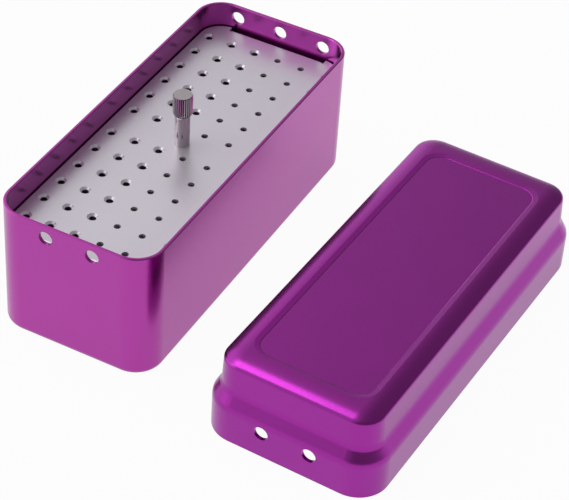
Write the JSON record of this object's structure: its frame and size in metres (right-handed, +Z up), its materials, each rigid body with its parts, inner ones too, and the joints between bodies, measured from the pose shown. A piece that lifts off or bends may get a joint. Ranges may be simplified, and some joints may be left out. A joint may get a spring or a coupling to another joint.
{
  "type": "bur holder box",
  "caption": "Open anodised bur holder box with a lift-out perforated rack and centre handle, its domed lid lying beside it.",
  "frame": {"origin": "middle of the underside of the base, on the surface that base and lid stand on", "axes": "+X along the box towards the end with three vents, -X towards the end with two vents, +Y towards the countersunk columns of bur holes, the lid lies on the -Y side, +Z up"},
  "size_m": [0.1291, 0.1281, 0.0513],
  "materials": {
    "purple_anodised": "satin purple anodised",
    "purple_anodised_lid": "satin purple anodised",
    "silver_plate": "satin clear anodised",
    "stop_plate_metal": "satin mill finish",
    "rivet_metal": "satin",
    "turned_steel": "turned, knurled head",
    "screw_steel": "machined"
  },
  "bodies": {
    "base": {"base_box": "purple_anodised"},
    "rack": {"bur_plate": "silver_plate", "stop_plate": "stop_plate_metal", "rivet_1": "rivet_metal", "rivet_2": "rivet_metal", "rivet_3": "rivet_metal", "rivet_4": "rivet_metal", "lifting_handle": "turned_steel", "handle_screw": "screw_steel", "handle_washer": "screw_steel"},
    "lid": {"lid_cover": "purple_anodised_lid"}
  },
  "joints": [
    {"name": "rack_lift", "type": "slide", "parent": "base", "child": "rack", "axis": [0, 0, 1], "range_m": [0, 0.05]},
    {"name": "lid_lift", "type": "slide", "parent": "base", "child": "lid", "axis": [0, 0, 1], "range_m": [0, 0.08]}
  ]
}
